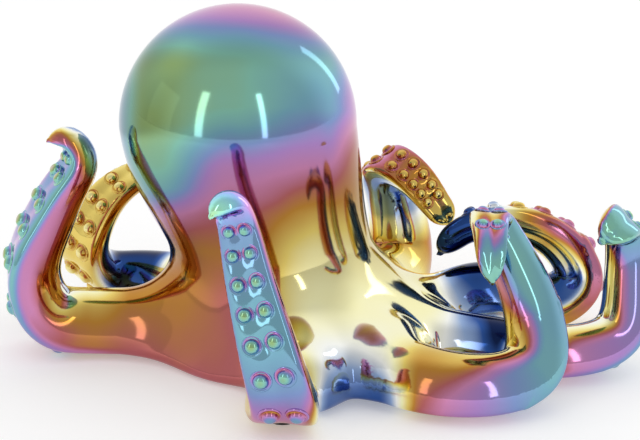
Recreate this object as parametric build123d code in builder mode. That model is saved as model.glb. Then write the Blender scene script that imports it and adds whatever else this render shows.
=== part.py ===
from build123d import *
from collections import namedtuple
from math import cos, radians, sin, sqrt
import os

os.makedirs("parts", exist_ok=True)

# Place of the body axis on the table, so that the whole figurine is centred
BODY_X = -34.0
BODY_Y = 4.0

# Mantle, neck and web, as level rounds on an axis that bends back towards the bulb
BULB_RADIUS = 72.5
BULB_HEIGHT = 142.5
BULB_SHIFT = -18.0
BULB_SETBACK = 4.0
HEM_SHIFT = 9.0
LEVEL_UP_SHARES = (0, 0.067, 0.145, 0.26, 0.415, 0.60, 0.805, 1)
LEVEL_RADIUS_SHARES = (1.10, 1.065, 1.00, 0.917, 0.862, 0.903, 0.977, 1)
LEVEL_BEND_SHARES = (0, 0, 0, 0.04, 0.185, 0.52, 0.83, 1)
WALL = 4.5
VENT_DIAMETER = 12.0
OVERRUN = 2.0

# Arms, shared sizes
JOINT_RADIUS = 92.0
JOINT_SHIFT = 10.0
STUB_RISE = 8.0
JOINT_RISE = 1.5
FOOT_LIFT = 1.0
FOOT_DIAMETER = 18.0
FOOT_ROOT_SHARE = 1.0
STUB_SHARE = 0.62
LYING_SHARE = 0.62
ARM_HEIGHT_SHARE = 0.74
SECTION_ACROSS_SHARES = (0.80, 1.00, 0.71, 0)
SECTION_UP_SHARES = (-0.50, -0.22, 0.29, 0.50)
RIM_SLOPE_SHARE = 0.25
ROUND_SHARE = 0.07
SMALLEST_SHARE = 0.25
BORE_DEPTH = 20.0

# Suckers and felt pads
SUCKER_RADIUS = 4.6
SUCKER_GAP = 0.7
SUCKER_SPREAD_SHARE = 0.19
LAST_SUCKER_SHARE = 0.84
PAD_DIAMETER = 16.0
PAD_THICKNESS = 1.5

# Front arm
FRONT_AZIMUTH = -85.0
FRONT_REACH = 143.0
FRONT_RISE = 124.0
FRONT_WIDTH = 45.0
FRONT_TIP_WIDTH = 15.0
FRONT_TAPER_POWER = 1.15
FRONT_ROLL = 0.0
FRONT_OUT_SHARES = (0.84, 1.01, 1.065, 1.03, 0.98, 0.96, 1.00, 1.08)
FRONT_TURNS = (0, 0, 0, -2, -5, -8, -12, -15)
FRONT_UP_SHARES = (0.00, 0.05, 0.235, 0.47, 0.70, 0.88, 1.00, 0.98)
FRONT_FIRST_SHARE = 0.28

# Left arm
LEFT_AZIMUTH = -175.0
LEFT_REACH = 147.0
LEFT_RISE = 120.0
LEFT_WIDTH = 49.0
LEFT_TIP_WIDTH = 15.0
LEFT_TAPER_POWER = 1.6
LEFT_ROLL = 14.0
LEFT_OUT_SHARES = (0.77, 0.91, 1.00, 0.94, 0.83, 0.77, 0.81, 0.90)
LEFT_TURNS = (-1, 0, 0, 0, 1, 1, 1, 1)
LEFT_UP_SHARES = (0.01, 0.055, 0.25, 0.52, 0.75, 0.90, 1.00, 1.01)
LEFT_FIRST_SHARE = 0.27

# Rear left arm
REAR_LEFT_AZIMUTH = 132.0
REAR_LEFT_REACH = 134.0
REAR_LEFT_RISE = 80.0
REAR_LEFT_WIDTH = 44.0
REAR_LEFT_TIP_WIDTH = 15.0
REAR_LEFT_TAPER_POWER = 1.6
REAR_LEFT_ROLL = -10.0
REAR_LEFT_OUT_SHARES = (0.90, 0.985, 1.00, 0.95, 0.87, 0.79, 0.72)
REAR_LEFT_TURNS = (5, 13, 20, 21, 17, 9, 0)
REAR_LEFT_UP_SHARES = (0.01, 0.065, 0.29, 0.56, 0.82, 0.96, 1.02)
REAR_LEFT_FIRST_SHARE = 0.36

# Rear arm
REAR_AZIMUTH = 92.0
REAR_REACH = 135.0
REAR_RISE = 95.0
REAR_WIDTH = 46.0
REAR_TIP_WIDTH = 15.0
REAR_TAPER_POWER = 1.6
REAR_ROLL = 0.0
REAR_OUT_SHARES = (0.80, 0.95, 1.02, 1.00, 0.95, 1.00)
REAR_TURNS = (-3, 0, 3, 5, 6, 6)
REAR_UP_SHARES = (0.01, 0.08, 0.33, 0.66, 0.92, 1.00)
REAR_FIRST_SHARE = 0.30

# Rear right arm
REAR_RIGHT_AZIMUTH = 49.0
REAR_RIGHT_REACH = 136.0
REAR_RIGHT_RISE = 74.0
REAR_RIGHT_WIDTH = 50.0
REAR_RIGHT_TIP_WIDTH = 17.0
REAR_RIGHT_TAPER_POWER = 1.0
REAR_RIGHT_ROLL = 80.0
REAR_RIGHT_OUT_SHARES = (0.82, 0.94, 0.97, 0.94, 0.87, 0.89, 0.95, 1.00)
REAR_RIGHT_TURNS = (-3, 0, 2, 3, 0, -8, -14, -18)
REAR_RIGHT_UP_SHARES = (0.025, 0.13, 0.43, 0.76, 1.00, 0.96, 0.77, 0.60)
REAR_RIGHT_FIRST_SHARE = 0.58

# Scroll arm, between the rear right arm and the right arm
SCROLL_AZIMUTH = 13.0
SCROLL_REACH = 200.0
SCROLL_RISE = 55.0
SCROLL_WIDTH = 46.0
SCROLL_TIP_WIDTH = 22.0
SCROLL_TAPER_POWER = 1.6
SCROLL_ROLL = 0.0
SCROLL_OUT_SHARES = (0.70, 0.88, 0.985, 0.94, 0.77, 0.64, 0.57)
SCROLL_TURNS = (-3, -4, -4, -3, -1, 2, 4)
SCROLL_UP_SHARES = (0.19, 0.03, 0.29, 0.68, 0.98, 0.90, 0.64)
SCROLL_FIRST_SHARE = 0.48

# Right arm
RIGHT_AZIMUTH = -17.0
RIGHT_REACH = 222.0
RIGHT_RISE = 75.0
RIGHT_WIDTH = 44.0
RIGHT_TIP_WIDTH = 22.0
RIGHT_TAPER_POWER = 1.6
RIGHT_ROLL = 0.0
RIGHT_OUT_SHARES = (0.66, 0.86, 0.97, 0.985, 0.98, 0.97, 0.955, 0.93)
RIGHT_TURNS = (-1, 1, 5, 7, 8, 7, 3, 1)
RIGHT_UP_SHARES = (0.01, 0.01, 0.14, 0.46, 0.78, 0.97, 1.03, 0.98)
RIGHT_FIRST_SHARE = 0.52

# Front right arm
FRONT_RIGHT_AZIMUTH = -51.0
FRONT_RIGHT_REACH = 184.0
FRONT_RIGHT_RISE = 88.0
FRONT_RIGHT_WIDTH = 49.0
FRONT_RIGHT_TIP_WIDTH = 14.0
FRONT_RIGHT_TAPER_POWER = 1.6
FRONT_RIGHT_ROLL = 0.0
FRONT_RIGHT_OUT_SHARES = (0.70, 0.91, 0.985, 0.95, 0.865, 0.81, 0.87, 0.94)
FRONT_RIGHT_TURNS = (3, 10, 18, 23, 24, 23, 19, 15)
FRONT_RIGHT_UP_SHARES = (0.01, 0.01, 0.09, 0.36, 0.74, 0.97, 0.98, 0.74)
FRONT_RIGHT_FIRST_SHARE = 0.46

# Stations along an arm and roll over its length
STATION_COUNT = 20
TIP_STATION_SHARES = (0.96, 0.98, 1.00)
STUB_STATIONS = 3
BORE_STEPS = 4
FINE_STEPS = 400
ROLL_START_SHARE = 0.25
ROLL_END_SHARE = 0.90
SUCKER_PAIRS = 7

Arm = namedtuple(
    "Arm",
    "name azimuth reach rise width tip_width taper_power roll out_shares turns up_shares first_share",
)
ARMS = (
    Arm("front", FRONT_AZIMUTH, FRONT_REACH, FRONT_RISE, FRONT_WIDTH,
        FRONT_TIP_WIDTH, FRONT_TAPER_POWER, FRONT_ROLL, FRONT_OUT_SHARES,
        FRONT_TURNS, FRONT_UP_SHARES, FRONT_FIRST_SHARE),
    Arm("left", LEFT_AZIMUTH, LEFT_REACH, LEFT_RISE, LEFT_WIDTH,
        LEFT_TIP_WIDTH, LEFT_TAPER_POWER, LEFT_ROLL, LEFT_OUT_SHARES,
        LEFT_TURNS, LEFT_UP_SHARES, LEFT_FIRST_SHARE),
    Arm("rear_left", REAR_LEFT_AZIMUTH, REAR_LEFT_REACH, REAR_LEFT_RISE, REAR_LEFT_WIDTH,
        REAR_LEFT_TIP_WIDTH, REAR_LEFT_TAPER_POWER, REAR_LEFT_ROLL, REAR_LEFT_OUT_SHARES,
        REAR_LEFT_TURNS, REAR_LEFT_UP_SHARES, REAR_LEFT_FIRST_SHARE),
    Arm("rear", REAR_AZIMUTH, REAR_REACH, REAR_RISE, REAR_WIDTH,
        REAR_TIP_WIDTH, REAR_TAPER_POWER, REAR_ROLL, REAR_OUT_SHARES,
        REAR_TURNS, REAR_UP_SHARES, REAR_FIRST_SHARE),
    Arm("rear_right", REAR_RIGHT_AZIMUTH, REAR_RIGHT_REACH, REAR_RIGHT_RISE, REAR_RIGHT_WIDTH,
        REAR_RIGHT_TIP_WIDTH, REAR_RIGHT_TAPER_POWER, REAR_RIGHT_ROLL, REAR_RIGHT_OUT_SHARES,
        REAR_RIGHT_TURNS, REAR_RIGHT_UP_SHARES, REAR_RIGHT_FIRST_SHARE),
    Arm("scroll", SCROLL_AZIMUTH, SCROLL_REACH, SCROLL_RISE, SCROLL_WIDTH,
        SCROLL_TIP_WIDTH, SCROLL_TAPER_POWER, SCROLL_ROLL, SCROLL_OUT_SHARES,
        SCROLL_TURNS, SCROLL_UP_SHARES, SCROLL_FIRST_SHARE),
    Arm("right", RIGHT_AZIMUTH, RIGHT_REACH, RIGHT_RISE, RIGHT_WIDTH,
        RIGHT_TIP_WIDTH, RIGHT_TAPER_POWER, RIGHT_ROLL, RIGHT_OUT_SHARES,
        RIGHT_TURNS, RIGHT_UP_SHARES, RIGHT_FIRST_SHARE),
    Arm("front_right", FRONT_RIGHT_AZIMUTH, FRONT_RIGHT_REACH, FRONT_RIGHT_RISE, FRONT_RIGHT_WIDTH,
        FRONT_RIGHT_TIP_WIDTH, FRONT_RIGHT_TAPER_POWER, FRONT_RIGHT_ROLL, FRONT_RIGHT_OUT_SHARES,
        FRONT_RIGHT_TURNS, FRONT_RIGHT_UP_SHARES, FRONT_RIGHT_FIRST_SHARE),
)


# Width of an arm at a share of its length, rounding off at the tip
def arm_width(arm, share):
    width = arm.width - (arm.width - arm.tip_width) * share ** arm.taper_power
    past = max(0, (share - 1 + ROUND_SHARE) / ROUND_SHARE)
    return width * max(SMALLEST_SHARE, sqrt(max(0, 1 - past * past)))


# A point on the table plan, from the body axis
def placed(radius, bearing, height):
    turn = radians(bearing)
    return Vector(BODY_X + radius * cos(turn), BODY_Y + radius * sin(turn), height)


# Points the centreline of an arm passes through
def arm_points(arm):
    root_height = PAD_THICKNESS + arm.width * ARM_HEIGHT_SHARE / 2 + FOOT_LIFT
    shift = Vector(JOINT_SHIFT, 0, 0)
    points = [
        placed(JOINT_RADIUS * STUB_SHARE, arm.azimuth, root_height + JOINT_RISE + STUB_RISE) + shift,
        placed(JOINT_RADIUS, arm.azimuth, root_height + JOINT_RISE) + shift,
    ]
    count = len(arm.out_shares)
    for number in range(count):
        width = arm_width(arm, LYING_SHARE * (number + 1) / count)
        lying = PAD_THICKNESS + width * ARM_HEIGHT_SHARE / 2 + FOOT_LIFT
        points.append(placed(
            arm.reach * arm.out_shares[number],
            arm.azimuth + arm.turns[number],
            lying + arm.rise * arm.up_shares[number],
        ))
    return points


# Planes across an arm at fine steps, carried along without twist and then rolled
def arm_frames(arm):
    points = arm_points(arm)
    with BuildLine() as route:
        Spline(*points)
    edge = route.edge()
    steps = [number / FINE_STEPS for number in range(FINE_STEPS + 1)]
    places = [edge.position_at(step) for step in steps]
    headings = [edge.tangent_at(step) for step in steps]
    nearest = min(range(FINE_STEPS), key=lambda number: (places[number] - points[1]).length)
    backs = []
    back = Vector(0, 0, 1)
    for heading in headings:
        back = (back - heading * back.dot(heading)).normalized()
        backs.append(back)
    frames = []
    for number in range(FINE_STEPS + 1):
        share = max(0, (number - nearest) / (FINE_STEPS - nearest))
        ease = min(1, max(0, (share - ROLL_START_SHARE) / (ROLL_END_SHARE - ROLL_START_SHARE)))
        turn = radians(arm.roll * ease * ease * (3 - 2 * ease))
        across = backs[number].cross(headings[number])
        rolled = across * cos(turn) + backs[number] * sin(turn)
        frames.append(Plane(origin=places[number], x_dir=rolled, z_dir=headings[number]))
    return frames, nearest


# The frame nearest a share of the arm's length, counted from the joint
def frame_at(frames, nearest, share):
    return frames[round(nearest + share * (FINE_STEPS - nearest))]


# Section of an arm: a high rounded back over a flat sucker face
def arm_section(plane, width):
    half = width / 2
    height = width * ARM_HEIGHT_SHARE
    right = []
    for number in range(len(SECTION_UP_SHARES)):
        right.append((half * SECTION_ACROSS_SHARES[number], height * SECTION_UP_SHARES[number]))
    left = [(-across, up) for across, up in reversed(right[:-1])]
    with BuildSketch(plane) as section:
        with BuildLine():
            Spline(*right, *left, tangents=((1, RIM_SLOPE_SHARE), (1, -RIM_SLOPE_SHARE)))
            Line(left[-1], right[0])
        make_face()
    return section.sketch.face()


# Round section of the hollow in an arm
def bore_section(plane, width):
    with BuildSketch(plane) as section:
        Circle(width * ARM_HEIGHT_SHARE / 2 - WALL)
    return section.sketch.face()


# Sections of a stub, from inside the body out to the joint
def stub_sections(arm):
    frames, nearest = FRAMES[arm.name]
    sections = []
    for number in range(STUB_STATIONS):
        frame = frames[round(nearest * number / (STUB_STATIONS - 1))]
        sections.append(arm_section(frame, arm.width))
    return sections


# Sections of the hollow in a stub, running on past the joint
def stub_bore_sections(arm):
    frames, nearest = FRAMES[arm.name]
    steps = (0, round(nearest / 2), nearest + BORE_STEPS)
    return [bore_section(frames[step], arm.width) for step in steps]


# Sections of an arm, from the joint out to the tip
def arm_sections(arm):
    frames, nearest = FRAMES[arm.name]
    shares = [(1 - ROUND_SHARE) * number / STATION_COUNT for number in range(STATION_COUNT + 1)]
    shares.extend(TIP_STATION_SHARES)
    return [arm_section(frame_at(frames, nearest, share), arm_width(arm, share)) for share in shares]


# Planes and radii of the suckers, a hair off the flat face of an arm
def sucker_places(arm):
    frames, nearest = FRAMES[arm.name]
    places = []
    for number in range(SUCKER_PAIRS):
        share = arm.first_share + (LAST_SUCKER_SHARE - arm.first_share) * number / (SUCKER_PAIRS - 1)
        frame = frame_at(frames, nearest, share)
        width = arm_width(arm, share)
        drop = width * ARM_HEIGHT_SHARE / 2 + SUCKER_GAP
        for side in (-1, 1):
            centre = frame.from_local_coords(Vector(side * width * SUCKER_SPREAD_SHARE, -drop, 0))
            seat = Plane(origin=centre, x_dir=frame.x_dir, z_dir=-frame.y_dir)
            places.append((seat, SUCKER_RADIUS * width / arm.width))
    return places


# Where the felt pad of an arm lies on the table
def pad_place(arm):
    lowest = min((0, 1), key=lambda number: arm.up_shares[number])
    point = arm_points(arm)[2 + lowest]
    return Vector(point.X, point.Y, 0)


# Solid of the mantle, neck and web, moved in by a wall for its hollow
def body_rounds(inset):
    base = PAD_THICKNESS + inset
    rounds = []
    for up, wide, bend in zip(LEVEL_UP_SHARES, LEVEL_RADIUS_SHARES, LEVEL_BEND_SHARES):
        centre = Vector(
            BODY_X + HEM_SHIFT + (BULB_SHIFT - HEM_SHIFT) * bend,
            BODY_Y + BULB_SETBACK * up,
            base + (BULB_HEIGHT - base) * up,
        )
        with BuildSketch(Plane(origin=centre)) as level:
            Circle(BULB_RADIUS * wide - inset)
        rounds.append(level.sketch.face())
    return rounds


FRAMES = {}
for arm in ARMS:
    FRAMES[arm.name] = arm_frames(arm)

# Hollow inside the mantle, the web and the stubs
with BuildPart() as hollow:
    loft(sections=body_rounds(WALL))
    with Locations((BODY_X + BULB_SHIFT, BODY_Y + BULB_SETBACK, BULB_HEIGHT)):
        Sphere(BULB_RADIUS - WALL, arc_size1=0, align=(Align.CENTER, Align.CENTER, Align.MIN))
    for arm in ARMS:
        loft(sections=stub_bore_sections(arm))

# Mantle with its web and eight stubs, cast hollow with a vent below
with BuildPart() as mantle:
    loft(sections=body_rounds(0))
    with Locations((BODY_X + BULB_SHIFT, BODY_Y + BULB_SETBACK, BULB_HEIGHT)):
        Sphere(BULB_RADIUS, arc_size1=0, align=(Align.CENTER, Align.CENTER, Align.MIN))
    for arm in ARMS:
        loft(sections=stub_sections(arm))
    add(hollow.part, mode=Mode.SUBTRACT)
    with Locations((BODY_X, BODY_Y, PAD_THICKNESS - OVERRUN)):
        Cylinder(VENT_DIAMETER / 2, WALL + 2 * OVERRUN, align=(Align.CENTER, Align.CENTER, Align.MIN),
                 mode=Mode.SUBTRACT)
mantle.part.label = "mantle"
export_step(mantle.part, "parts/mantle.step")

# Arms, each luted on its stub, hollow at the root, with a small flat foot where it stands
for arm in ARMS:
    with BuildPart() as casting:
        loft(sections=arm_sections(arm))
        with Locations(pad_place(arm) + Vector(0, 0, PAD_THICKNESS)):
            Cylinder(FOOT_DIAMETER / 2, FOOT_LIFT + WALL * FOOT_ROOT_SHARE,
                     align=(Align.CENTER, Align.CENTER, Align.MIN))
        with Locations(frame_at(*FRAMES[arm.name], 0)):
            Cylinder(arm.width * ARM_HEIGHT_SHARE / 2 - WALL, 2 * BORE_DEPTH, mode=Mode.SUBTRACT)
    casting.part.label = arm.name + "_arm"
    export_step(casting.part, "parts/" + arm.name + "_arm.step")

# Suckers, two rows of domes on each arm
for arm in ARMS:
    with BuildPart() as suckers:
        for place, radius in sucker_places(arm):
            with Locations(place):
                Sphere(radius, arc_size1=0, align=(Align.CENTER, Align.CENTER, Align.MIN))
    suckers.part.label = arm.name + "_suckers"
    export_step(suckers.part, "parts/" + arm.name + "_suckers.step")

# Felt pads, one under each arm
with BuildPart() as felt_pads:
    for arm in ARMS:
        with Locations(pad_place(arm)):
            Cylinder(PAD_DIAMETER / 2, PAD_THICKNESS, align=(Align.CENTER, Align.CENTER, Align.MIN))
felt_pads.part.label = "felt_pads"
export_step(felt_pads.part, "parts/felt_pads.step")
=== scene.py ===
import math
import bmesh
import bpy
import numpy as np
import openvdb
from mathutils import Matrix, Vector


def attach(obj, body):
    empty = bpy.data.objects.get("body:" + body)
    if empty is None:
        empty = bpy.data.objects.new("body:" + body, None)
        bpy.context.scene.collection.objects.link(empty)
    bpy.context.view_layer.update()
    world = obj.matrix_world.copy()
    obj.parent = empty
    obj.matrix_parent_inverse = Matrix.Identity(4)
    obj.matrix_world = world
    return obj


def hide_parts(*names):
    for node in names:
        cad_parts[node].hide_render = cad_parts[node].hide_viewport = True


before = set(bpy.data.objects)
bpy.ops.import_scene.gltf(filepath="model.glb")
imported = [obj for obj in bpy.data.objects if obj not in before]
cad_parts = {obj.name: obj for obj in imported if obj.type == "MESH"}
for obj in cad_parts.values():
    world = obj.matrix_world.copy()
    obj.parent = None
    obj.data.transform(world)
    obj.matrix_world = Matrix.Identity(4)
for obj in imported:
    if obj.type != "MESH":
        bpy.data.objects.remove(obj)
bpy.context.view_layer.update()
MM = 0.001

# Body axis on the table and middle of the bulb from there, in millimetres as all lengths up to the studio
BODY = np.array([-34.0, 4.0, 0.0])
BULB = np.array([-18.0, 4.0, 143.0])
BULB_RADIUS = 72.5

# Joint of every arm with the mantle, and the height of its belly over the table
JOINT_RADIUS = 92.0
JOINT_SHIFT = 10.0
JOINT_RISE = 1.5
STUB_SHARE = 0.62
STUB_RISE = 8.0
LYING_SHARE = 0.62
BELLY = 1.2

# Section of an arm in shares of its width or height, its rounded end and the lengths over which it rolls
HIGH = 0.74
WAIST = -0.22
BACK = 0.72
ROUND = 0.07
SMALLEST = 0.25
ROLL_START = 0.25
ROLL_END = 0.90
FINE_STEPS = 2000
LINE_STEPS = 260
ARM_MARGIN = 62
CHUNK = 60000

# A curled arm is measured as two lengths that overlap
ROOT_LENGTH_END = 0.60
TIP_LENGTH_START = 0.48

# Suckers, the hollow of the face they sit on and the saddles between the pairs
SUCKER = 6.2
SUCKER_LEAST = 0.3
SPREAD = 0.20
SEAT = 0.46
PAIRS = 7
LAST = 0.87
CROWDING = 0.92
HOLLOW = 0.034
HOLLOW_REACH = 0.86
SADDLE = 0.016
SADDLE_REACH = 0.8

# How far the arms flow into the mantle, and the soft edge at the table
FILLET = 30
FILLET_END = 0.26
BASE_HEIGHT = 0.7
BASE_SOFTNESS = 9.0

# Bearing and size of each arm, and shares of its reach and rise with turns in degrees at stations along it
ARMS = {
    "front": dict(
        azimuth=-85, reach=143, rise=124, width=45, tip=18, taper=1.15, roll=0, first=0.305, last=0.84,
        out=(0.84, 1.01, 1.065, 1.03, 0.98, 0.96, 1.00, 1.08),
        turn=(0, 0, -2, -5, -8, -10, -12, -15),
        up=(0.00, 0.05, 0.235, 0.47, 0.70, 0.88, 1.00, 0.98)),
    "left": dict(
        azimuth=-175, reach=147, rise=120, width=50, tip=15, taper=2.4, roll=14, first=0.24,
        out=(0.77, 0.91, 0.985, 0.92, 0.82, 0.77, 0.81, 0.90),
        turn=(-1, 0, 0, 0, 1, 1, 1, 1),
        up=(0.01, 0.055, 0.25, 0.52, 0.75, 0.90, 1.00, 1.01)),
    "rear_left": dict(
        azimuth=132, reach=134, rise=80, width=44, tip=15, taper=1.6, roll=-10, first=0.36,
        out=(0.90, 0.985, 1.00, 0.95, 0.87, 0.79, 0.72),
        turn=(5, 13, 20, 21, 17, 9, 0),
        up=(0.01, 0.065, 0.29, 0.56, 0.82, 0.96, 1.02)),
    "rear": dict(
        azimuth=92, reach=135, rise=95, width=46, tip=15, taper=1.6, roll=0, first=0.30,
        out=(0.80, 0.95, 1.02, 1.00, 0.95, 1.00),
        turn=(-3, 0, 3, 5, 6, 6),
        up=(0.01, 0.08, 0.33, 0.66, 0.92, 1.00)),
    "rear_right": dict(
        azimuth=49, reach=136, rise=74, width=50, tip=17, taper=1.0, roll=80, first=0.58, curled=True,
        out=(0.82, 0.94, 0.97, 0.94, 0.87, 0.89, 0.95, 1.00),
        turn=(-3, 0, 2, 3, 0, -8, -14, -18),
        up=(0.025, 0.13, 0.43, 0.76, 1.00, 0.96, 0.77, 0.60)),
    "scroll": dict(
        azimuth=13, reach=200, rise=55, width=46, tip=22, taper=1.6, roll=0, first=0.48, curled=True,
        out=(0.70, 0.88, 0.985, 0.94, 0.77, 0.64, 0.57),
        turn=(-3, -4, -4, -3, -1, 2, 4),
        up=(0.19, 0.03, 0.29, 0.68, 0.98, 0.90, 0.64)),
    "right": dict(
        azimuth=-17, reach=222, rise=75, width=44, tip=22, taper=1.6, roll=0, first=0.52,
        out=(0.66, 0.86, 0.97, 0.985, 0.98, 0.97, 0.955, 0.93),
        turn=(-1, 1, 5, 7, 8, 7, 3, 1),
        up=(0.01, 0.01, 0.14, 0.46, 0.78, 0.97, 1.03, 0.98)),
    "front_right": dict(
        azimuth=-51, reach=184, rise=88, width=49, tip=14, taper=1.6, roll=0, first=0.46, curled=True,
        out=(0.70, 0.91, 0.985, 0.95, 0.865, 0.81, 0.85, 0.91),
        turn=(3, 10, 18, 23, 24, 23, 17, 12),
        up=(0.01, 0.01, 0.09, 0.36, 0.74, 0.97, 0.98, 0.74)),
}


def smooth(low, high, value):
    """Goes softly from 0 at the first value to 1 at the second."""
    s = np.clip((value - low) / (high - low), 0, 1)
    return s * s * (3 - 2 * s)


def width_at(arm, share):
    width = arm["width"] - (arm["width"] - arm["tip"]) * share ** arm["taper"]
    past = np.maximum(0, (share - 1 + ROUND) / ROUND)
    return width * np.maximum(SMALLEST, np.sqrt(np.maximum(0, 1 - past * past)))


def cubic(knots, points, steps):
    """Points on a smooth curve through the given points, with end slopes from the first and last three."""
    knots = np.asarray(knots, float)
    points = np.asarray(points, float).reshape(len(knots), -1)
    gaps = np.diff(knots)
    slopes = np.diff(points, axis=0) / gaps[:, None]
    count = len(knots)
    system = np.zeros((count, count))
    right = np.zeros((count, points.shape[1]))
    system[0, 0] = system[-1, -1] = 1
    right[0] = slopes[0] + (slopes[0] - slopes[1]) * gaps[0] / (gaps[0] + gaps[1])
    right[-1] = slopes[-1] + (slopes[-1] - slopes[-2]) * gaps[-1] / (gaps[-1] + gaps[-2])
    for i in range(1, count - 1):
        system[i, i - 1:i + 2] = gaps[i], 2 * (gaps[i - 1] + gaps[i]), gaps[i - 1]
        right[i] = 3 * (gaps[i] * slopes[i - 1] + gaps[i - 1] * slopes[i])
    ends = np.linalg.solve(system, right)
    at = np.clip(np.searchsorted(knots, steps, side="right") - 1, 0, count - 2)
    s = ((steps - knots[at]) / gaps[at])[:, None]
    gap = gaps[at][:, None]
    return ((1 + 2 * s) * (1 - s) ** 2 * points[at] + s * (1 - s) ** 2 * gap * ends[at]
            + s * s * (3 - 2 * s) * points[at + 1] + s * s * (s - 1) * gap * ends[at + 1])


def placed(radius, bearing, height):
    turn = math.radians(bearing)
    return np.array([BODY[0] + radius * math.cos(turn), BODY[1] + radius * math.sin(turn), height])


def stations(arm):
    """Two stations on the stub, then those that the table gives."""
    root = BELLY + arm["width"] * HIGH / 2
    shift = np.array([JOINT_SHIFT, 0, 0])
    points = [placed(JOINT_RADIUS * STUB_SHARE, arm["azimuth"], root + JOINT_RISE + STUB_RISE) + shift,
              placed(JOINT_RADIUS, arm["azimuth"], root + JOINT_RISE) + shift]
    count = len(arm["out"])
    for i in range(count):
        lying = BELLY + width_at(arm, LYING_SHARE * (i + 1) / count) * HIGH / 2
        bearing = arm["azimuth"] + arm["turn"][i]
        points.append(placed(arm["reach"] * arm["out"][i], bearing, lying + arm["rise"] * arm["up"][i]))
    return np.array(points)


def run_along(points):
    return np.r_[0, np.cumsum(np.linalg.norm(np.diff(points, axis=0), axis=1))]


def trace(arm):
    """Adds even samples of the arm's centreline, with its directions, width and share from the joint."""
    points = stations(arm)
    knots = run_along(points)
    fine = cubic(knots, points, np.linspace(0, knots[-1], FINE_STEPS))
    run = run_along(fine)
    even = np.linspace(0, run[-1], LINE_STEPS)
    centre = np.stack([np.interp(even, run, fine[:, k]) for k in range(3)], 1)
    head = np.gradient(centre, axis=0)
    head /= np.linalg.norm(head, axis=1)[:, None]
    joint = run[np.argmin(np.linalg.norm(fine - points[1], axis=1))]
    share = (even - joint) / (run[-1] - joint)
    reached = np.clip(share, 0, 1)
    turn = np.radians(arm["roll"]) * smooth(ROLL_START, ROLL_END, reached)
    side = np.zeros_like(centre)
    back = np.zeros_like(centre)
    up = np.array([0, 0, 1.0])
    for i in range(LINE_STEPS):
        up = up - head[i] * (up @ head[i])
        up /= np.linalg.norm(up)
        across = np.cross(up, head[i])
        side[i] = across * math.cos(turn[i]) + up * math.sin(turn[i])
        back[i] = np.cross(head[i], side[i])
    arm.update(centre=centre, head=head, side=side, back=back, share=share, step=even[1],
               width_line=width_at(arm, reached),
               joint=points[1], joint_head=head[np.argmin(np.abs(even - joint))],
               low=centre.min(0) - ARM_MARGIN, high=centre.max(0) + ARM_MARGIN)
    row = np.linspace(0, 1, PAIRS) ** CROWDING
    arm["spots"] = arm["first"] + (arm.get("last", LAST) - arm["first"]) * row


for arm in ARMS.values():
    trace(arm)


def arm_field(p, arm):
    """Distance to one arm, share along it and height in its section."""
    if not arm.get("curled"):
        return length_field(p, arm, 0, LINE_STEPS)
    root = length_field(p, arm, 0, int(ROOT_LENGTH_END * LINE_STEPS))
    tip = length_field(p, arm, int(TIP_LENGTH_START * LINE_STEPS), LINE_STEPS)
    return np.where(root[0] < tip[0], root, tip)


def length_field(p, arm, begin, end):
    """The same for one length of the arm's centreline."""
    out = np.empty((3, len(p)))
    centre = arm["centre"]
    line_squares = ((centre[begin:end] ** 2).sum(1) / 2).astype(np.float32)
    line = centre[begin:end].T.astype(np.float32)
    for start in range(0, len(p), CHUNK):
        q = p[start:start + CHUNK]
        near = begin + (line_squares - q.astype(np.float32) @ line).argmin(1)
        along = ((q - centre[near]) * arm["head"][near]).sum(1) / arm["step"]
        where = np.clip(near + np.clip(along, -1, 1), begin, end - 1)
        i = np.minimum(where.astype(int), end - 2)
        f = where - i

        def between(values):
            part = f if values.ndim == 1 else f[:, None]
            return values[i] * (1 - part) + values[i + 1] * part

        rel = q - between(centre)
        width = between(arm["width_line"])
        share = between(arm["share"])
        x = (rel * between(arm["side"])).sum(1)
        y = (rel * between(arm["back"])).sum(1)
        u = np.sqrt(np.maximum(0, (rel ** 2).sum(1) - x * x - y * y))
        half = width / 2
        height = width * HIGH
        above = y - WAIST * height
        tall = BACK * height
        deep = (0.5 + WAIST) * height
        upper = np.sqrt((x / half) ** 2 + (above / tall) ** 2 + (u / half) ** 2)
        lower = ((x / half) ** 4 + (above / deep) ** 4 + (u / half) ** 4) ** 0.25
        ratio = np.maximum(np.where(above > 0, upper, lower), 1e-4)
        d = np.sqrt(x * x + above * above + u * u) * (1 - 1 / ratio)
        across = x / half
        under = smooth(-0.15, -0.75, above / deep) * smooth(0.06, 0.22, share)
        d = d + under * HOLLOW * width * np.maximum(0, 1 - (across / HOLLOW_REACH) ** 2)
        pair = np.interp(share, arm["spots"], np.arange(PAIRS))
        wave = np.cos(2 * math.pi * pair)
        d = d + under * SADDLE * width * wave * np.maximum(0, 1 - (across / SADDLE_REACH) ** 2)
        out[:, start:start + CHUNK] = d, share, y / height
    return out


# Mantle, neck and web: shift and radius of level sections
LEVELS = (-10, 0, 10, 22, 38, 60, 86, 115, 143)
SHIFTS = (9, 9, 9, 9, 8, 4, -5, -13.5, -18)
RADII = (85, 83, 79, 73, 66.5, 62.5, 65.5, 70.8, 72.5)
LEVEL_STEPS = np.linspace(LEVELS[0], LEVELS[-1], 400)
SHIFT_LINE = cubic(LEVELS, SHIFTS, LEVEL_STEPS)[:, 0]
RADIUS_LINE = cubic(LEVELS, RADII, LEVEL_STEPS)[:, 0]
SLOPE_LINE = np.gradient(RADIUS_LINE, LEVEL_STEPS)


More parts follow.
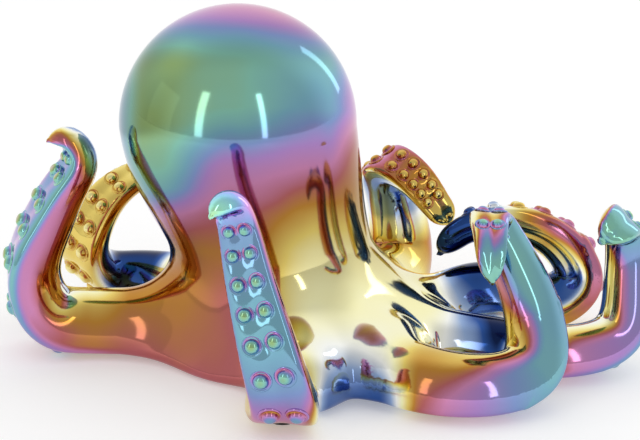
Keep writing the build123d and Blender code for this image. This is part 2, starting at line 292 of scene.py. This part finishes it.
def body_field(p):
    """Distance to the mantle: level circles below the middle of the bulb, a ball above."""
    q = p - BODY
    z = q[:, 2]
    shift = np.interp(z, LEVEL_STEPS, SHIFT_LINE)
    radius = np.interp(z, LEVEL_STEPS, RADIUS_LINE)
    slope = np.interp(z, LEVEL_STEPS, SLOPE_LINE)
    away = np.hypot(q[:, 0] - shift, q[:, 1] - BULB[1] * z / BULB[2]) - radius
    top = np.linalg.norm(q - BULB, axis=1) - BULB_RADIUS
    return np.where(z > BULB[2], top, away / np.sqrt(1 + slope ** 2))


# Two flares of the web beside the front arm: ends, radius and softness
FLARES = (((-12, -70, 15), (-8, -96, 12), 15, 14),
          ((36, -58, 16), (42, -78, 12), 14, 14))


def line_away(p, begin, end):
    """Distance to a straight line between two places."""
    begin, run = np.array(begin), np.subtract(end, begin)
    share = np.clip((p - begin) @ run / (run @ run), 0, 1)
    return np.linalg.norm(p - begin - share[:, None] * run, axis=1)


def blend(a, b, k):
    """The lesser of two distances, with a fillet of the given softness."""
    k = np.maximum(k, 0.01)
    h = np.clip(0.5 + 0.5 * (b - a) / k, 0, 1)
    return b * (1 - h) + a * h - k * h * (1 - h)


def skin(p):
    """The whole casting: mantle and arms run into each other at the roots."""
    d = body_field(p)
    for begin, end, radius, soft in FLARES:
        d = blend(d, line_away(p, begin, end) - radius, soft)
    for arm in ARMS.values():
        inside = np.all((p > arm["low"]) & (p < arm["high"]), axis=1)
        if not inside.any():
            continue
        away, share, _ = arm_field(p[inside], arm)
        d[inside] = blend(d[inside], away, FILLET * (1 - smooth(0.0, FILLET_END, share)))
    return -blend(-d, p[:, 2] - BASE_HEIGHT, BASE_SOFTNESS)


# Places round a point where the field is read for its slope
PROBE = 0.2
CORNERS = np.array([[1, 1, 1], [1, -1, -1], [-1, 1, -1], [-1, -1, 1]]) * PROBE
LEAST_SLOPE = 0.2


def slopes(p, reach=1):
    """Slope and value of the skin's field, from four near points."""
    values = [skin(p + corner * reach) for corner in CORNERS]
    slope = sum(value[:, None] * corner for value, corner in zip(values, CORNERS))
    return slope / (4 * PROBE * PROBE * reach), sum(values) / 4


def settle(p, rounds):
    """Moves points onto the skin."""
    for _ in range(rounds):
        slope, value = slopes(p)
        p = p - (value / np.maximum((slope ** 2).sum(1), LEAST_SLOPE))[:, None] * slope
    return p


# Surface of the casting on a grid, worked out in blocks near the skin, then settled on the true surface
VOXEL = 1.6
BLOCK = 16
FAR = 3 * VOXEL
GRID_LOW = np.array([-206.0, -172, -3])
GRID_HIGH = np.array([206.0, 172, 222])
HALF_DIAGONAL = 0.87
FILLET_SLACK = 14
SKIPPED = BLOCK * VOXEL * HALF_DIAGONAL + FILLET_SLACK

shape = np.ceil((GRID_HIGH - GRID_LOW) / VOXEL).astype(int)
field = np.full(shape, FAR, np.float32)
corners = np.meshgrid(*[np.arange(0, n, BLOCK) for n in shape], indexing="ij")
starts = np.stack(corners, -1).reshape(-1, 3)
middles = skin(GRID_LOW + VOXEL * (starts + BLOCK / 2))
for start, middle in zip(starts, middles):
    end = np.minimum(start + BLOCK, shape)
    part = tuple(slice(a, b) for a, b in zip(start, end))
    if abs(middle) > SKIPPED:
        field[part] = FAR * np.sign(middle)
        continue
    axes = [GRID_LOW[k] + VOXEL * np.arange(start[k], end[k]) for k in range(3)]
    spots = np.stack(np.meshgrid(*axes, indexing="ij"), -1).reshape(-1, 3)
    field[part] = np.clip(skin(spots), -FAR, FAR).reshape(end - start)
grid = openvdb.FloatGrid(FAR)
grid.copyFromArray(field)
points, quads = grid.convertToQuads(isovalue=0.0)
points = settle(GRID_LOW + VOXEL * np.asarray(points, float), 2)

# The skin is cut at the joint of each arm
CUT_REACH = 4
NORMAL_REACH = 3
whole = bpy.data.meshes.new("whole")
whole.from_pydata(points.tolist(), [], np.asarray(quads).tolist())
cut = bmesh.new()
cut.from_mesh(whole)
for arm in ARMS.values():
    spot, head = Vector(arm["joint"]), Vector(arm["joint_head"])
    near = []
    for face in cut.faces:
        away = face.calc_center_median() - spot
        if away.length < arm["width"] and abs(away.dot(head)) < CUT_REACH:
            near.append(face)
    verts = dict.fromkeys(v for f in near for v in f.verts)
    edges = dict.fromkeys(e for f in near for e in f.edges)
    bmesh.ops.bisect_plane(cut, geom=[*verts, *edges, *near], dist=0.01, plane_co=spot, plane_no=head)
cut.verts.index_update()
points = np.array([v.co for v in cut.verts])
faces = [[v.index for v in f.verts] for f in cut.faces]
centres = np.array([f.calc_center_median() for f in cut.faces])
cut.free()
bpy.data.meshes.remove(whole)
normals, _ = slopes(points, NORMAL_REACH)
normals /= np.linalg.norm(normals, axis=1)[:, None]

# Where an arm's own skin begins: its reach off the arm, and shares before and near the joint
OWN_REACH = 14.0
BEFORE_JOINT = -0.05
NEAR_JOINT = 0.15


def owners(p):
    """Number of the arm each place belongs to, or -1 on the mantle."""
    best = np.full(len(p), OWN_REACH)
    owner = np.full(len(p), -1)
    for number, arm in enumerate(ARMS.values()):
        away, share, _ = arm_field(p, arm)
        ahead = ((p - arm["joint"]) * arm["joint_head"]).sum(1) > 0
        mine = (share > BEFORE_JOINT) & (ahead | (share >= NEAR_JOINT)) & (away < best)
        best[mine] = away[mine]
        owner[mine] = number
    return owner


# Film of the lustre on the mantle, by height from the middle of the bulb; its bands lie level in the photo
CAMERA_RISE = math.radians(18)
BAND_AXIS = np.array([0, math.sin(CAMERA_RISE), math.cos(CAMERA_RISE)])
FILM_UPS = (-170, -140, -109, -78, -56, -41, -28, -16, -10, -4, 5.5, 33)
FILM_LEFT = (0.55, 0.51, 0.45, 0.45, 0.60, 0.79, 0.84, 0.865, 0.88, 0.89, 0.89, 0.885)
FILM_MIDDLE = (0.52, 0.51, 0.50, 0.48, 0.51, 0.56, 0.62, 0.71, 0.755, 0.80, 0.845, 0.85)
FILM_RIGHT = (0.20, 0.24, 0.28, 0.33, 0.42, 0.50, 0.58, 0.65, 0.68, 0.71, 0.77, 0.80)
CROWN_LOSS = 0.27
SIDE_LOSS = 0.16


def film_on_mantle(p):
    """Thickness of the film from 0 to 1, thinner at the crown and the sides of the bulb."""
    q = p - BODY - BULB
    across, up = q[:, 0], q @ BAND_AXIS
    left, middle, right = (np.interp(up, FILM_UPS, films) for films in (FILM_LEFT, FILM_MIDDLE, FILM_RIGHT))
    film = middle + (left - middle) * smooth(0, -45, across) + (right - middle) * smooth(0, 50, across)
    crown = smooth(0.42, 0.98, up / BULB_RADIUS)
    sides = smooth(54, 73, np.abs(across)) * smooth(-60, -10, up)
    return np.clip(film - (CROWN_LOSS * crown + SIDE_LOSS * sides), 0, 1)


# Film along the back and underside of each arm, its losses, and where the back turns over to the underside
TURNOVER = (-0.22, -0.46)
FROM_RIGHT = np.array([-0.8, 0, 0.6])
FROM_LEFT = np.array([0.8, 0, 0.6])
# Films below about 0.1 give dark and near-black blues; on the backs of the rear_left, rear_right, scroll and
# right arms they are partly blue lustre and partly painted shade in the recesses.
FILMS = {
    "front": dict(
        back_film=((0, 0.42), (0.3, 0.48), (0.5, 0.58), (0.84, 0.60), (0.90, 0.68), (0.95, 0.80), (1, 0.89)),
        under_film=((0.1, 0.46), (0.2, 0.54), (0.28, 0.62), (0.38, 0.73), (0.5, 0.78), (0.84, 0.74),
                    (0.92, 0.70), (1, 0.82)),
        edge=0.10),
    "left": dict(
        back_film=((0, 0.42), (0.2, 0.46), (0.35, 0.59), (0.75, 0.58), (1, 0.52)),
        under_film=((0.2, 0.66), (0.4, 0.84), (1, 0.86)),
        edge=0.24, inner=0.20, inwards=FROM_LEFT),
    "rear_left": dict(
        back_film=((0, 0.05), (0.4, 0.07), (0.6, 0.40), (1, 0.46)),
        under_film=((0.3, 0.34), (0.5, 0.38), (1, 0.38)),
        edge=0.06),
    "rear": dict(
        back_film=((0, 0.50), (0.5, 0.70), (1, 0.80)),
        under_film=((0.3, 0.45), (1, 0.60)),
        edge=0.2),
    "rear_right": dict(
        back_film=((0, 0.22), (0.25, 0.40), (0.4, 0.12), (0.65, 0.06), (0.85, 0.28), (1, 0.42)),
        under_film=((0.3, 0.45), (0.6, 0.46), (0.8, 0.42), (1, 0.36)),
        edge=-0.14),
    "scroll": dict(
        back_film=((0, 0.06), (0.25, 0.06), (0.50, 0.07), (0.56, 0.25), (0.65, 0.40), (0.74, 0.34),
                   (0.82, 0.07), (1, 0.04)),
        under_film=((0.2, 0.10), (0.28, 0.30), (0.36, 0.42), (0.5, 0.55), (0.64, 0.56), (0.74, 0.42),
                    (0.84, 0.07), (1, 0.04)),
        edge=0.08, turnover=(0.12, -0.20)),
    "right": dict(
        back_film=((0, 0.22), (0.15, 0.13), (0.30, 0.06), (0.36, 0.42), (0.42, 0.58), (0.55, 0.66),
                   (0.75, 0.70), (0.9, 0.80), (1, 0.92)),
        under_film=((0.2, 0.48), (0.32, 0.60), (0.45, 0.72), (0.6, 0.80), (1, 0.86)),
        edge=0.10, inner=0.38, inwards=FROM_RIGHT),
    "front_right": dict(
        back_film=((0, 0.30), (0.08, 0.36), (0.16, 0.46), (0.24, 0.58), (0.33, 0.70), (0.42, 0.79),
                   (0.7, 0.80), (1, 0.78)),
        under_film=((0.1, 0.40), (0.25, 0.62), (0.4, 0.77), (0.75, 0.66), (1, 0.84)),
        edge=0.08, inner=0.38, inwards=FROM_RIGHT),
}


def film_along(name, line, share):
    return np.interp(share, *zip(*FILMS[name][line]))


def film_on_arms(p, n, film):
    """Lays the films of the arms over the mantle's, fading in from the roots and off the web."""
    facing = np.abs(n[:, 1])
    for name, arm in ARMS.items():
        away, share, up = arm_field(p, arm)
        kind = FILMS[name]
        back = film_along(name, "back_film", share)
        under = film_along(name, "under_film", share)
        own = back + (under - back) * smooth(*kind.get("turnover", TURNOVER), up)
        own = own - kind["edge"] * (1 - facing) ** 1.5
        if "inner" in kind:
            own = own - kind["inner"] * smooth(0.2, 0.85, n @ kind["inwards"]) * smooth(0.15, 0.32, share)
        film = film + (own - film) * smooth(0.0, 0.16, share) * smooth(15, 2, away)
    return film


# Film of the deep blue near the table beside the front arm, partly blue lustre and partly painted shade
VALLEY_SHADE_FILM = 0.08


def shade_film_beside_front(p, film):
    """The lustre thins to silver and then to deep blue near the table, in the valley right of the front arm;
    the deep blue is partly blue lustre and partly painted shade.
    """
    x, y, z = p.T
    much = smooth(46, 12, z) * smooth(-14, 4, x) * smooth(56, 32, x) * smooth(-30, -60, y)
    return film + (VALLEY_SHADE_FILM - film) * much


# Shares of painted shade that darken the mantle's colour, and of painted highlight that makes the front
# arm's tip paler
PAINTED_SHADE_BELOW = 0.30
PAINTED_SHADE_LEFT = 0.42
PAINTED_SHADE_CAP = 0.22
PAINTED_HIGHLIGHT_TIP = 0.6


def painted_shade_on_mantle(p):
    """Painted shade: the colour is darker at the left of the bulb, near its top, and below its middle, where
    it tones down the reflection of the pale floor.
    """
    q = p - BODY - BULB
    up = q @ BAND_AXIS
    below = smooth(10, -40, up) * smooth(-110, -70, up)
    left = smooth(-28, -56, q[:, 0]) * smooth(-14, -6, up) * smooth(64, 40, up)
    cap = smooth(24, 42, up) * smooth(66, 52, up)
    return (1 - PAINTED_SHADE_BELOW * below) * (1 - PAINTED_SHADE_LEFT * left) * (1 - PAINTED_SHADE_CAP * cap)


def painted_highlight_on_front_tip(p):
    """Painted highlight: the curled tip of the front arm is paler than the rest of it."""
    _, share, _ = arm_field(p, ARMS["front"])
    return 1 + PAINTED_HIGHLIGHT_TIP * smooth(0.82, 0.94, share)


def new_object(name, verts, faces, film, painted_light):
    mesh = bpy.data.meshes.new(name)
    mesh.from_pydata((np.asarray(verts) * MM).tolist(), [], faces)
    mesh.polygons.foreach_set("use_smooth", [True] * len(mesh.polygons))
    # Each point carries its film and a factor of painted light: painted shade or painted highlight on its
    # colour, 1 where there is none.
    for layer_name, values in (("film", film), ("painted_light", painted_light)):
        layer = mesh.attributes.new(layer_name, "FLOAT", "POINT")
        layer.data.foreach_set("value", np.asarray(values, np.float32))
    obj = bpy.data.objects.new(name, mesh)
    bpy.context.scene.collection.objects.link(obj)
    return obj


def node_material(name):
    material = bpy.data.materials.new(name)
    material.use_nodes = True
    tree = material.node_tree
    return material, tree, tree.nodes["Principled BSDF"]


# Colours of the lustre, from the thinnest film to the thickest; the darkest blues at the thin end are partly
# blue lustre and partly painted shade for recesses
LUSTRE = (
    (0.00, (0.008, 0.018, 0.070)),
    (0.07, (0.030, 0.090, 0.32)),
    (0.14, (0.30, 0.42, 0.66)),
    (0.21, (0.90, 0.91, 0.86)),
    (0.29, (0.93, 0.89, 0.50)),
    (0.37, (0.80, 0.62, 0.16)),
    (0.45, (0.52, 0.24, 0.04)),
    (0.51, (0.46, 0.13, 0.13)),
    (0.58, (0.60, 0.24, 0.44)),
    (0.65, (0.42, 0.24, 0.56)),
    (0.71, (0.23, 0.32, 0.60)),
    (0.77, (0.20, 0.43, 0.54)),
    (0.84, (0.26, 0.58, 0.46)),
    (0.91, (0.32, 0.48, 0.18)),
    (1.00, (0.70, 0.50, 0.50)),
)
DRIFT = 0.10
DRIFT_SCALE = 16
GRAIN = 0.06
GRAIN_SCALE = 60


def noise_about(tree, place, scale, spread, middle):
    """Noise of the given spread round a middle value."""
    noise = tree.nodes.new("ShaderNodeTexNoise")
    noise.inputs["Scale"].default_value = scale
    noise.inputs["Detail"].default_value = 2
    tree.links.new(place.outputs["Object"], noise.inputs["Vector"])
    value = tree.nodes.new("ShaderNodeMath")
    value.operation = "MULTIPLY_ADD"
    value.inputs[1].default_value = spread
    value.inputs[2].default_value = middle - spread / 2
    tree.links.new(noise.outputs["Fac"], value.inputs[0])
    return value.outputs[0]


def lustre(name, roughness):
    """Mirror glaze whose colour follows the film on the points, with a slow drift, scaled by the painted
    shade and painted highlight on the points.
    """
    material, tree, shader = node_material(name)
    nodes, links = tree.nodes, tree.links
    place = nodes.new("ShaderNodeTexCoord")
    film = nodes.new("ShaderNodeAttribute")
    film.attribute_name = "film"
    total = nodes.new("ShaderNodeMath")
    total.operation = "ADD"
    total.use_clamp = True
    links.new(film.outputs["Fac"], total.inputs[0])
    links.new(noise_about(tree, place, DRIFT_SCALE, DRIFT, 0.0), total.inputs[1])
    ramp = nodes.new("ShaderNodeValToRGB")
    stops = ramp.color_ramp.elements
    while len(stops) < len(LUSTRE):
        stops.new(0.5)
    for stop, (at, colour) in zip(stops, LUSTRE):
        stop.position = at
        stop.color = (*colour, 1)
    links.new(total.outputs[0], ramp.inputs["Fac"])
    # The ramp's colour is scaled by the painted shade and painted highlight on the points.
    painted_light = nodes.new("ShaderNodeAttribute")
    painted_light.attribute_name = "painted_light"
    painted_light_colour = nodes.new("ShaderNodeVectorMath")
    painted_light_colour.operation = "SCALE"
    links.new(ramp.outputs["Color"], painted_light_colour.inputs[0])
    links.new(painted_light.outputs["Fac"], painted_light_colour.inputs["Scale"])
    links.new(painted_light_colour.outputs["Vector"], shader.inputs["Base Color"])
    links.new(noise_about(tree, place, GRAIN_SCALE, GRAIN, roughness), shader.inputs["Roughness"])
    shader.inputs["Metallic"].default_value = 1
    return material


mantle_lustre = lustre("mantle_lustre", 0.09)
arm_lustre = lustre("arm_lustre", 0.09)
sucker_lustre = lustre("sucker_lustre", 0.08)

# One piece of skin for each arm and for the mantle
# Painted shade on the mantle and a painted highlight on the front arm's tip; the other pieces get none.
PAINTED_LIGHT_BY_PIECE = {"mantle": painted_shade_on_mantle, "front": painted_highlight_on_front_tip}
owner = owners(centres)
# The film carries painted shade in the valley beside the front arm and on the dark backs of some arms.
whole_film = shade_film_beside_front(points, film_on_arms(points, normals, film_on_mantle(points)))
for name, number in [*zip(ARMS, range(len(ARMS))), ("mantle", -1)]:
    mine = [f for f, o in zip(faces, owner) if o == number]
    used = np.unique(np.concatenate([np.array(f) for f in mine]))
    new_number = np.full(len(points), -1)
    new_number[used] = np.arange(len(used))
    piece_faces = [[int(new_number[v]) for v in f] for f in mine]
    node = name if name == "mantle" else name + "_arm"
    painted_light = PAINTED_LIGHT_BY_PIECE[name](points[used]) if name in PAINTED_LIGHT_BY_PIECE else np.ones(len(used))
    piece = new_object(node + "_skin", points[used], piece_faces, whole_film[used], painted_light)
    piece.data.normals_split_custom_set_from_vertices(normals[used].tolist())
    piece.data.materials.append(mantle_lustre if name == "mantle" else arm_lustre)
    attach(piece, "root")
    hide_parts(node)

# Sucker beads: a turned profile of radius, height and share of the moat's film shift, which is painted shade
# in the moat, seated on each arm's face
PROFILE = ((1.30, -0.25, 0.0), (1.24, 0.00, 0.0), (1.15, 0.07, 0.3), (1.05, 0.06, 0.8), (0.97, 0.01, 1.0),
           (0.90, 0.02, 1.0), (0.84, 0.14, 0.8), (0.79, 0.29, 0.4), (0.68, 0.48, 0.0), (0.50, 0.62, -0.4),
           (0.27, 0.70, -0.6), (0.0, 0.73, -0.7))
RINGS = len(PROFILE) - 1
TURNS = 28
ANGLES = [2 * math.pi * k / TURNS for k in range(TURNS)]
SHADE_CRESCENT = [0.6 + 0.5 * math.cos(angle) for angle in ANGLES]
# The moat's film shift is painted shade, strongest in a crescent toward the side that each bead's first
# point faces.
MOAT_SHADE_FILM = -0.18
GOLD_MOAT_SHADE_FILM = 0.09
GOLD_UP_TO = 0.6


def bead(spot, normal, radius, towards):
    """Points of one sucker; the first point on each ring lies on the side given."""
    normal = normal / np.linalg.norm(normal)
    first = towards - normal * (towards @ normal)
    first /= np.linalg.norm(first)
    second = np.cross(normal, first)
    verts = []
    for out, up, _ in PROFILE[:-1]:
        for angle in ANGLES:
            ray = first * math.cos(angle) + second * math.sin(angle)
            verts.append(spot + radius * (out * ray + up * normal))
    verts.append(spot + radius * PROFILE[-1][1] * normal)
    return verts


def bead_faces(offset):
    """Faces between the rings of one sucker, round its top and over its hidden base."""
    faces = []
    for ring in range(RINGS):
        below = offset + ring * TURNS
        for k in range(TURNS):
            following = (k + 1) % TURNS
            if ring < RINGS - 1:
                faces.append([below + k, below + following, below + TURNS + following, below + TURNS + k])
            else:
                faces.append([below + k, below + following, offset + RINGS * TURNS])
    faces.append([offset + k for k in reversed(range(TURNS))])
    return faces


def bead_film(level):
    """Film on the points of one sucker: painted shade in the moat, strongest in a crescent on one side, and
    the opposite film shift on the dome.
    """
    moat_shade = MOAT_SHADE_FILM if level > GOLD_UP_TO else GOLD_MOAT_SHADE_FILM
    film = []
    for _, _, much in PROFILE[:-1]:
        film += [level + moat_shade * (much * shade_strength if much > 0 else much) for shade_strength in SHADE_CRESCENT]
    film.append(level + moat_shade * PROFILE[-1][2])
    return film


def on_line(arm, line, share):
    return np.array([np.interp(share, arm["share"], arm[line][:, k]) for k in range(3)])


for name, arm in ARMS.items():
    verts, faces, film = [], [], []
    for share in arm["spots"]:
        centre, side, back, head = (on_line(arm, line, share) for line in ("centre", "side", "back", "head"))
        width = np.interp(share, arm["share"], arm["width_line"])
        size = SUCKER * (SUCKER_LEAST + (1 - SUCKER_LEAST) * width / arm["width"])
        for hand in (-1, 1):
            start = centre + hand * SPREAD * width * side - back * width * HIGH * SEAT
            spot = settle(start[None], 3)
            normal, _ = slopes(spot)
            faces += bead_faces(len(verts))
            verts += bead(spot[0], normal[0], size, head - 0.5 * hand * side)
            film += bead_film(film_along(name, "under_film", share))
    piece = new_object(name + "_sucker_beads", verts, faces, film, np.ones(len(verts)))
    piece.data.materials.append(sucker_lustre)
    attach(piece, "root")
    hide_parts(name + "_suckers")

# Felt pads keep their CAD shape
felt, tree, shader = node_material("felt")
weave = tree.nodes.new("ShaderNodeTexNoise")
weave.inputs["Scale"].default_value = 900
weave.inputs["Detail"].default_value = 4
shade = tree.nodes.new("ShaderNodeValToRGB")
shade.color_ramp.elements[0].color = (0.012, 0.012, 0.013, 1)
shade.color_ramp.elements[1].color = (0.06, 0.06, 0.062, 1)
tree.links.new(weave.outputs["Fac"], shade.inputs["Fac"])
tree.links.new(shade.outputs["Color"], shader.inputs["Base Color"])
shader.inputs["Roughness"].default_value = 0.95
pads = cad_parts["felt_pads"]
pads.data.materials.clear()
pads.data.materials.append(felt)

# Studio in metres: pale floor, white surroundings behind, dimmer room in front, four soft lamps
FLOOR_REACH = 8
LAMP_DISTANCE = 1.5
scene = bpy.context.scene
scene.view_settings.view_transform = "Standard"
world = bpy.data.worlds.new("studio")
scene.world = world
world.use_nodes = True
nodes, links = world.node_tree.nodes, world.node_tree.links
sky = nodes["Background"]
sky.inputs["Color"].default_value = (1, 1, 1, 1)
way = nodes.new("ShaderNodeTexCoord")
axes = nodes.new("ShaderNodeSeparateXYZ")
links.new(way.outputs["Generated"], axes.inputs[0])
behind = nodes.new("ShaderNodeMapRange")
behind.interpolation_type = "SMOOTHSTEP"
behind.inputs["From Min"].default_value = -0.25
behind.inputs["From Max"].default_value = 0.45
behind.inputs["To Min"].default_value = 0.66
behind.inputs["To Max"].default_value = 1.0
links.new(axes.outputs["Y"], behind.inputs["Value"])
links.new(behind.outputs["Result"], sky.inputs["Strength"])

floor_mesh = bpy.data.meshes.new("floor")
floor_corners = [(x * FLOOR_REACH, y * FLOOR_REACH, 0) for x, y in ((-1, -1), (1, -1), (1, 1), (-1, 1))]
floor_mesh.from_pydata(floor_corners, [], [(0, 1, 2, 3)])
floor = bpy.data.objects.new("floor", floor_mesh)
scene.collection.objects.link(floor)
paper, _, shader = node_material("paper")
shader.inputs["Base Color"].default_value = (0.86, 0.86, 0.86, 1)
shader.inputs["Roughness"].default_value = 0.9
shader.inputs["Specular IOR Level"].default_value = 0.0
shader.inputs["Emission Color"].default_value = (1, 1, 1, 1)
shader.inputs["Emission Strength"].default_value = 0.30
floor_mesh.materials.append(paper)


def softbox(name, direction, width, height, power):
    """Area lamp that looks at the bulb from the given direction."""
    light = bpy.data.lights.new(name, "AREA")
    light.shape = "RECTANGLE"
    light.size = width
    light.size_y = height
    light.energy = power
    lamp = bpy.data.objects.new(name, light)
    middle = Vector((BODY + BULB) * MM)
    lamp.location = middle + Vector(direction).normalized() * LAMP_DISTANCE
    lamp.rotation_euler = (middle - lamp.location).to_track_quat("-Z", "Y").to_euler()
    scene.collection.objects.link(lamp)


softbox("left_strip", (-0.535, -0.772, 0.342), 0.20, 1.1, 1.0)
softbox("right_strip", (0.428, -0.836, 0.342), 0.13, 1.1, 0.9)
softbox("left_window", (-0.97, -0.194, 0.26), 0.8, 0.8, 0.25)
softbox("right_rim", (0.748, 0.543, 0.39), 0.18, 0.9, 0.6)

# Camera as in the photo
TARGET = np.array([-0.002, 0.004, 0.0818])
CAMERA_DISTANCE = 1.3
camera_data = bpy.data.cameras.new("camera")
camera_data.lens = 118.5
camera_data.sensor_width = 36
camera = bpy.data.objects.new("camera", camera_data)
camera.location = TARGET + CAMERA_DISTANCE * np.array([0, -math.cos(CAMERA_RISE), math.sin(CAMERA_RISE)])
camera.rotation_euler = (math.pi / 2 - CAMERA_RISE, 0, 0)
scene.collection.objects.link(camera)
scene.camera = camera
